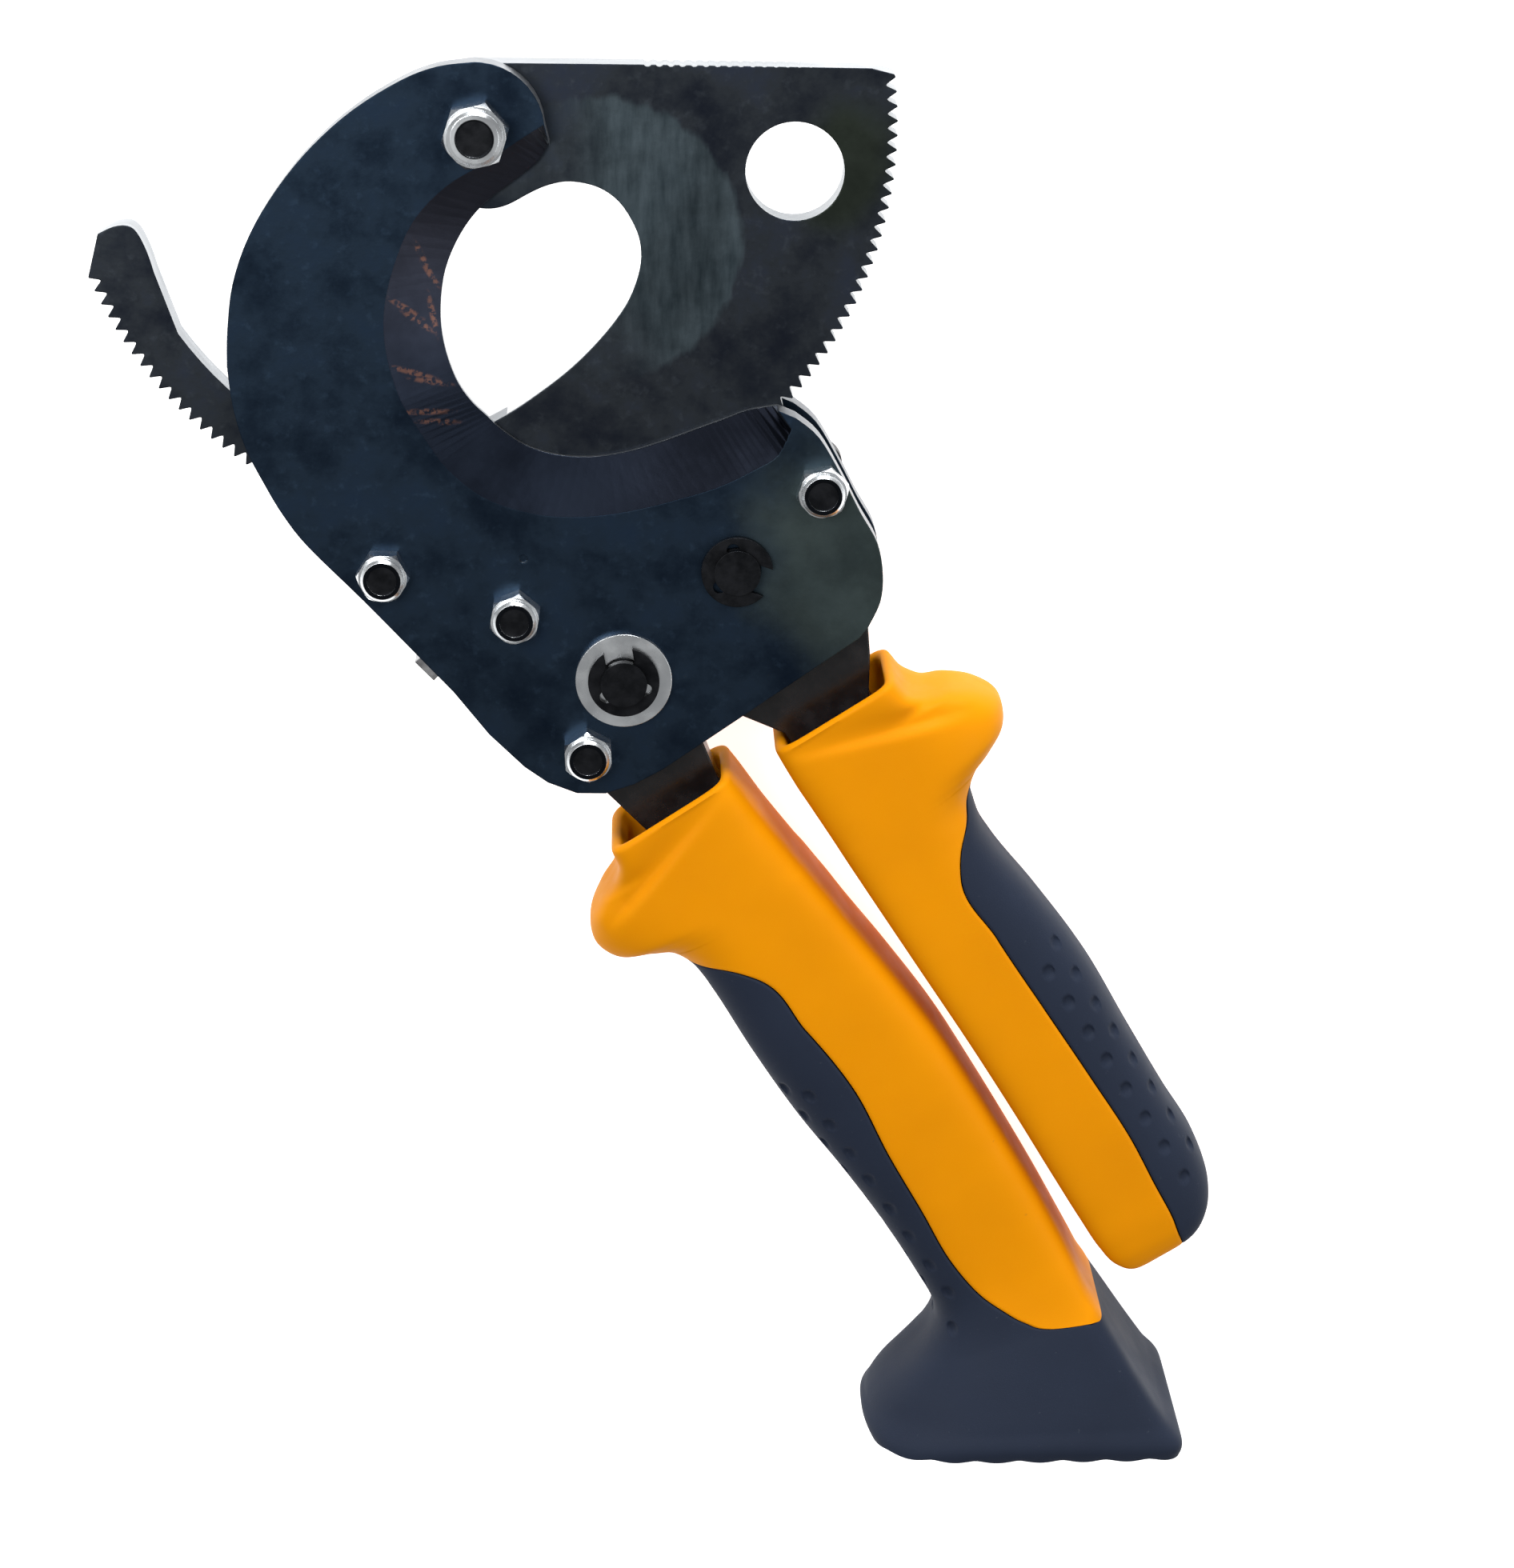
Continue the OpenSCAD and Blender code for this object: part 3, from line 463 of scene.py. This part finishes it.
def cut_angle(row):
    """Angle of a section at which the shell ends and the pad begins."""
    x = 2 * np.clip(row[5], 0, 0.98) - 1
    power = (row[7] if x > 0 else row[6]) / 2
    return math.acos(math.copysign(abs(x) ** power, x))


def section(row, t, grow=0.0):
    """Points of a grip's section at angles t, set inwards by grow.

    0 is the inner side and pi the outer side.
    """
    inner, outer = row[0:2], row[2:4]
    w = np.linalg.norm(inner - outer) / 2 - grow
    h = row[4] - grow
    u = (inner - outer) / np.linalg.norm(inner - outer)
    c, s = np.cos(t), np.sin(t)
    q = 2 / np.where(c > 0, row[7], row[6])
    v = np.sign(c) * w * np.abs(c) ** q
    z = np.sign(s) * h * np.abs(s) ** q
    mid = (inner + outer) / 2
    return np.column_stack([mid[0] + v * u[0], mid[1] + v * u[1], z])


def angles(first, last, count=1400):
    """Angles from first to last, crowded where a section's corners need them."""
    t = np.linspace(first, last, count)
    crowd = [k * math.pi / 2 + side * 10.0 ** -e for k in range(-4, 5)
             for side in (-1, 1) for e in np.arange(1.2, 9, 0.12)]
    crowd = [a for a in crowd if first < a < last]
    return np.unique(np.concatenate([t, crowd]))


def even(points, count):
    """The same open line with evenly spaced points, and how far each is along it."""
    gaps = np.linalg.norm(np.diff(points, axis=0), axis=1)
    far = np.concatenate([[0], np.cumsum(gaps)])
    want = np.linspace(0, far[-1], count)
    return np.column_stack([np.interp(want, far, points[:, k]) for k in range(3)]), want


def groove(along, total, depth=0.22, width=0.3):
    """How deep a narrow groove at both ends of a ring is at each place along it."""
    return depth * (np.exp(-(along / width) ** 2) + np.exp(-((total - along) / width) ** 2))


def sink(points, depth):
    """Moves ring points towards the ring's middle by depth."""
    inward = points.mean(axis=0) - points
    inward /= np.linalg.norm(inward, axis=1)[:, None]
    return points + inward * depth[:, None]


def ring_points(row, first, last, grow=0.0):
    """A section's points between two angles, set inwards by grow, and how far along each is."""
    return even(section(row, angles(first, last), grow), RING)


# The crease runs along s = slope * v + start. It is wide towards the rim, narrow below.
CREASE_SLOPE = 0.33
CREASE_START = -1.6
CREASE_WIDE = 3.4
CREASE_NARROW = 1.3
CREASE_DEEP = 1.25
CREASE_FULL_V = 24
CREASE_END_V = 34
CREASE_FADE = 6
CREASE_Z = 6
CREASE_Z_FADE = 4


def crease(points, axis):
    """Sinks the faces of a guard along the line from its rim's inner corner to its flange."""
    s, v = axis.place(points)
    past = s - (CREASE_SLOPE * v + CREASE_START)
    width = np.where(past < 0, CREASE_WIDE, CREASE_NARROW)
    depth = CREASE_DEEP * np.clip(v / CREASE_FULL_V, 0, 1) * np.exp(-(past / width) ** 2)
    depth *= np.clip((CREASE_END_V - v) / CREASE_FADE, 0, 1)
    face = np.clip((np.abs(points[:, 2]) - CREASE_Z) / CREASE_Z_FADE, 0, 1)
    points[:, 2] -= np.sign(points[:, 2]) * depth * face
    return points


def shell_rings(rows, depth, axis):
    """Rings of a hollow-topped shell: from its bottom end up, over the rim and down inside."""
    rings = []
    for row in rows[::-1]:
        cut = cut_angle(row)
        points, along = ring_points(row, -cut, cut)
        if row[5] > 0.01:
            points = sink(points, groove(along, along[-1]))
        rings.append(crease(points, axis))
    rim = rows[0]
    lip = 0.5 * GUARD_WALL
    for angle in np.linspace(0, math.pi, 9)[1:]:
        lifted = rim.copy()
        lifted[0:2] -= lip * math.sin(angle) * axis.dir
        lifted[2:4] -= lip * math.sin(angle) * axis.dir
        grow = lip * (1 - math.cos(angle))
        rings.append(ring_points(lifted, -math.pi, math.pi, grow)[0])
    for row in rows[1:]:
        if np.linalg.norm(row[0:2] - rim[0:2]) > depth:
            break
        rings.append(ring_points(row, -math.pi, math.pi, GUARD_WALL)[0])
    return rings


def dimple_centres(rows, axis, places):
    """Points on a grip's two faces at the wanted s and v."""
    s = axis.place(rows[:, 0:2])[0]
    centres = []
    for want_s, want_v in places:
        row = rows[int(np.argmin(np.abs(s - want_s)))]
        ring = section(row, np.linspace(0, math.pi, 1500))
        across = axis.place(ring)[1]
        point = ring[int(np.argmin(np.abs(across - want_v) + 2 * (ring[:, 2] < 0.5)))]
        centres += [point, point * (1, 1, -1)]
    return np.array(centres)


def dimple_depth(points, centres):
    """Depth of the round dimples at ring points."""
    away = np.linalg.norm(points[:, None, :] - centres[None, :, :], axis=2).min(axis=1)
    return DIMPLE_DEEP * np.clip(1 - (away / DIMPLE_R) ** 3, 0, 1)


def ribbed(points):
    """The sole's cross ridges, which also scallop its edge."""
    wave = 0.5 - 0.5 * np.cos(2 * math.pi * (points[:, 0] - RIDGE_START) / RIDGE_PITCH)
    near = np.clip((SOLE_Y + RIDGE_ZONE - points[:, 1]) / RIDGE_ZONE, 0, 1)
    points[:, 1] += RIDGE_HEIGHT * (1 - wave ** 0.7) * near
    return points


def pad_rings(rows, centres):
    """Rings of a pad, which lies open against the shell and closes below it."""
    opened = rows[:, 5] < PAD_CLOSES
    last_cut = cut_angle(rows[opened][-1])
    rings = []
    for row, is_open in zip(rows[::-1], opened[::-1]):
        cut = cut_angle(row) if is_open else last_cut
        points, along = ring_points(row, cut, 2 * math.pi - cut)
        dip = dimple_depth(points, centres)
        if is_open:
            dip = dip + groove(along, along[-1])
        points = sink(points, dip)
        if is_open:
            share = np.linspace(0, 1, FILL)[1:-1, None]
            closing = points[-1] + (points[0] - points[-1]) * share
        else:
            closing = even(section(row, angles(-cut, cut)), FILL)[0][1:-1]
        rings.append(ribbed(np.vstack([points, closing])))
    return rings


def sole_rings(ring, count=40):
    """The sole, from its middle out to the rim."""
    middle = ring.mean(axis=0)
    rings = []
    for k in range(1, count):
        grown = middle + (ring - middle) * k / count
        grown[:, 1] = SOLE_Y
        rings.append(ribbed(grown))
    return rings


def loft_object(name, rings, material):
    """A closed mesh through the rings, which are in millimetres, with its ends filled."""
    n = len(rings[0])
    points = np.concatenate(rings) * MM + np.array(PIVOT)
    faces = []
    for i in range(len(rings) - 1):
        a, b = i * n, (i + 1) * n
        for j in range(n):
            k = (j + 1) % n
            faces.append((a + j, a + k, b + k, b + j))
    faces.append(tuple(range(n))[::-1])
    faces.append(tuple(range((len(rings) - 1) * n, len(rings) * n)))
    mesh = bpy.data.meshes.new(name)
    mesh.from_pydata([tuple(p) for p in points], [], faces)
    bm = bmesh.new()
    bm.from_mesh(mesh)
    bmesh.ops.remove_doubles(bm, verts=bm.verts, dist=2e-6)
    bmesh.ops.recalc_face_normals(bm, faces=bm.faces)
    bm.to_mesh(mesh)
    bm.free()
    mesh.shade_smooth()
    mesh.set_sharp_from_angle(angle=SHARP_ANGLE)
    mesh.materials.append(material)
    obj = bpy.data.objects.new(name, mesh)
    bpy.context.scene.collection.objects.link(obj)
    return obj


moving = Axis((42.6, -113.2), (0.546, -0.838), 1)
fixed = Axis((50, -109.5), (0.536, -0.844), -1)
T = HALF_T
MOVING_ROWS = [
    moving.row(-0.8, 0.2, 25.2, T, 0, 8),
    moving.row(2, 0, 25.8, T, 0, 8),
    moving.row(4.3, -0.1, 28.2, T, 0, 5),
    moving.row(6.5, -0.2, 33, T, 0, 3.8),
    moving.row(9, -0.3, 36.5, T, 0, 3.2),
    moving.row(13, -0.6, 38, T, 0, 3),
    moving.row(16.5, -0.9, 36.6, T, 0, 3),
    moving.row(19, -1.1, 32.2, T, 0, 2.7),
    moving.row(21.3, -1.4, 28, T, 0, 2.9),
    moving.row(25, -1.7, 26, T, 0.05, 3),
    moving.row(28.2, -2, 25.6, T, 0.2, 3),
    moving.row(31.5, -2.2, 25.6, T, 0.31, 3),
    moving.row(45, -3.4, 26.2, T, 0.39, 3),
    moving.row(60, -4.2, 26.2, T, 0.41, 3),
    moving.row(74, -3.8, 25.2, T, 0.335, 3),
    moving.row(86, -3.2, 24.8, T, 0.3, 3),
    moving.row(98, -2.4, 25.1, T, 0.28, 3),
    moving.row(107, -1.5, 25.8, T + 0.5, 0.345, 3, 105.7, 7),
    moving.row(113, -0.8, 27.6, T + 1.3, 0.465, 3, 109, 8),
    moving.row(117, -0.3, 30.2, T + 2, 0.585, 2.9, 110.9, 9),
    moving.row(120, -0.2, 33.2, T + 2.7, 0.725, 2.8, 112.2, 10),
    moving.row(121.9, 0, 35.6, T + 3.3, 0.97, 2.7, 112.8, 11),
    [112.5, -221, 71.7, -229.6, T + 4.9, 1, 2.5, FOOT_POWER],
    [116.4, -227.3, 68.6, -232.6, T + 6.6, 1, 2.4, FOOT_POWER],
    [120.6, -233.8, 66.8, -235.7, FOOT_HALF - 1, 1, 2.5, FOOT_POWER],
    [124, -238.8, 66.2, -238.9, FOOT_HALF, 1, 3.2, FOOT_POWER],
    [123.6, SOLE_Y, 67.2, SOLE_Y, FOOT_HALF - 0.5, 1, 4, FOOT_POWER],
]
MOVING_SHELL_ROWS = 22
FIXED_ROWS = [
    fixed.row(-1.1, 0.4, 24.9, T, 0, 8),
    fixed.row(2, 0.2, 25.4, T, 0, 8),
    fixed.row(4.2, 0.1, 27.4, T, 0, 5),
    fixed.row(6.5, 0, 32.2, T, 0, 3.8),
    fixed.row(9.5, 0, 36, T, 0, 3.2),
    fixed.row(13.3, 0, 37.8, T, 0, 3),
    fixed.row(16.8, 0, 36.4, T, 0, 3),
    fixed.row(19.3, 0, 32.8, T, 0, 2.7),
    fixed.row(21, 0, 28.6, T, 0, 2.9),
    fixed.row(24, 0, 25.2, T, 0.04, 3),
    fixed.row(27.5, 0, 24, T, 0.09, 3),
    fixed.row(31, 0, 23.2, T, 0.21, 3),
    fixed.row(35, 0, 23.2, T, 0.32, 3),
    fixed.row(48, 0, 24.6, T, 0.38, 3),
    fixed.row(64, 0, 25.6, T, 0.4, 3),
    fixed.row(80, -0.3, 24.8, T, 0.37, 3),
    fixed.row(94, -0.8, 24.2, T, 0.35, 3),
    fixed.row(104, -1.1, 24, T - 0.2, 0.38, 3, 104.5),
    fixed.row(111, -1.1, 22.2, T - 0.5, 0.36, 3.2, 112),
    fixed.row(115, -0.5, 19.6, T - 1.2, 0.33, 3.4, 116),
    fixed.row(117.6, 1, 17, T - 2.4, 0.28, 3.4, 118),
    fixed.row(118.9, 3, 14.2, T - 4.4, 0.22, 3.4, 118.7),
]
# Places (s, v) of the dimples: a row near the orange part and a staggered one outside it
MOVING_DIMPLES = ([(103.3 - DIMPLE_PITCH * k, 21.1) for k in range(8)]
                  + [(100.4 - DIMPLE_PITCH * k, 24.4) for k in range(8)]
                  + [(113.0, 24.4), (110.5, 27.6)])
FIXED_DIMPLES = ([(105.6 - DIMPLE_PITCH * k, 19.5) for k in range(8)]
                 + [(102.3 - DIMPLE_PITCH * k, 23.2) for k in range(8)])


def finish_grip(piece, node, body):
    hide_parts(node)
    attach(piece, body)


def make_grips(orange, grey):
    rows = smooth_rows(MOVING_ROWS, STEP)
    shell_end = len(smooth_rows(MOVING_ROWS[:MOVING_SHELL_ROWS], STEP))
    rings = shell_rings(rows[:shell_end], POCKET_DEPTH, moving)
    shell = loft_object("moving_grip_orange", rings, orange)
    finish_grip(shell, "moving_grip_shell", "moving_handle")
    first = int(np.argmax(rows[:, 5] > PAD_STARTS))
    rings = pad_rings(rows[first:], dimple_centres(rows, moving, MOVING_DIMPLES))
    pad = loft_object("moving_grip_grey", sole_rings(rings[0]) + rings, grey)
    finish_grip(pad, "moving_grip_pad", "moving_handle")

    rows = smooth_rows(FIXED_ROWS, STEP)
    shell = loft_object("fixed_grip_orange", shell_rings(rows, POCKET_DEPTH, fixed), orange)
    finish_grip(shell, "fixed_grip_shell", "frame")
    first = int(np.argmax(rows[:, 5] > PAD_STARTS))
    rings = pad_rings(rows[first:], dimple_centres(rows, fixed, FIXED_DIMPLES))
    pad = loft_object("fixed_grip_grey", rings, grey)
    finish_grip(pad, "fixed_grip_pad", "frame")


# ---------------------------------------------------------------- finishes
CAD_SHARP_ANGLE = math.radians(30)


def paint(material, *names):
    """Gives the CAD nodes a material. Their meshes keep their shape."""
    for name in names:
        mesh = nodes[name].data
        mesh.materials.clear()
        mesh.materials.append(material)
        mesh.shade_smooth()
        mesh.set_sharp_from_angle(angle=CAD_SHARP_ANGLE)


def paint_frame():
    oxide = ((0.010, 0.019, 0.036), (0.019, 0.033, 0.054), (0.26, 0.275, 0.295))
    front = steel("front_plate_oxide_and_painted_shade", *oxide)
    add_right_side_tone(front)
    add_hook_marks_and_painted_shade(front)
    paint(front.material, "front_plate")
    nodes["front_plate"].data.shade_flat()
    paint(steel("rear_plate_oxide", *oxide).material, "rear_plate")
    olive = ((0.017, 0.022, 0.036), (0.032, 0.038, 0.046), (0.4, 0.42, 0.44))
    cutter = steel("blade_oxide", *olive)
    add_blade_hollow(cutter)
    paint(cutter.material, "blade")
    paint(enamel("black_enamel").material, "fixed_tang", "moving_lever", "release_lever")
    zinc = plated("zinc_plate", (0.8, 0.83, 0.85), (0.7, 0.73, 0.76), 0.24, 160)
    paint(zinc.material, "handle_pin_washer")
    nuts = plated("zinc_nuts", (0.8, 0.83, 0.85), (0.7, 0.73, 0.76), 0.24, 160)
    add_nylon_rings(nuts)
    paint(nuts.material, "frame_nuts", "pivot_nut")
    dark = plated("dark_fastener", (0.02, 0.021, 0.024), (0.012, 0.013, 0.015), 0.42)
    paint(dark.material, "frame_bolts", "pivot_bolt", "handle_pin", "handle_pin_clip",
          "holding_pawl_pin", "holding_pawl_clips")
    bare = plated("bare_steel", (0.5, 0.5, 0.51), (0.33, 0.33, 0.34), 0.35)
    paint(bare.material, "side_spacer", "frame_spacers", "drive_pawl", "holding_pawl",
          "drive_pawl_pin")
    wire = plated("spring_steel", (0.42, 0.42, 0.44), (0.26, 0.26, 0.28), 0.28)
    paint(wire.material, "handle_spring", "drive_pawl_spring", "holding_pawl_spring")


make_camera()
make_stage()
paint_frame()
make_grips(orange_plastic().material, soft_grey().material)
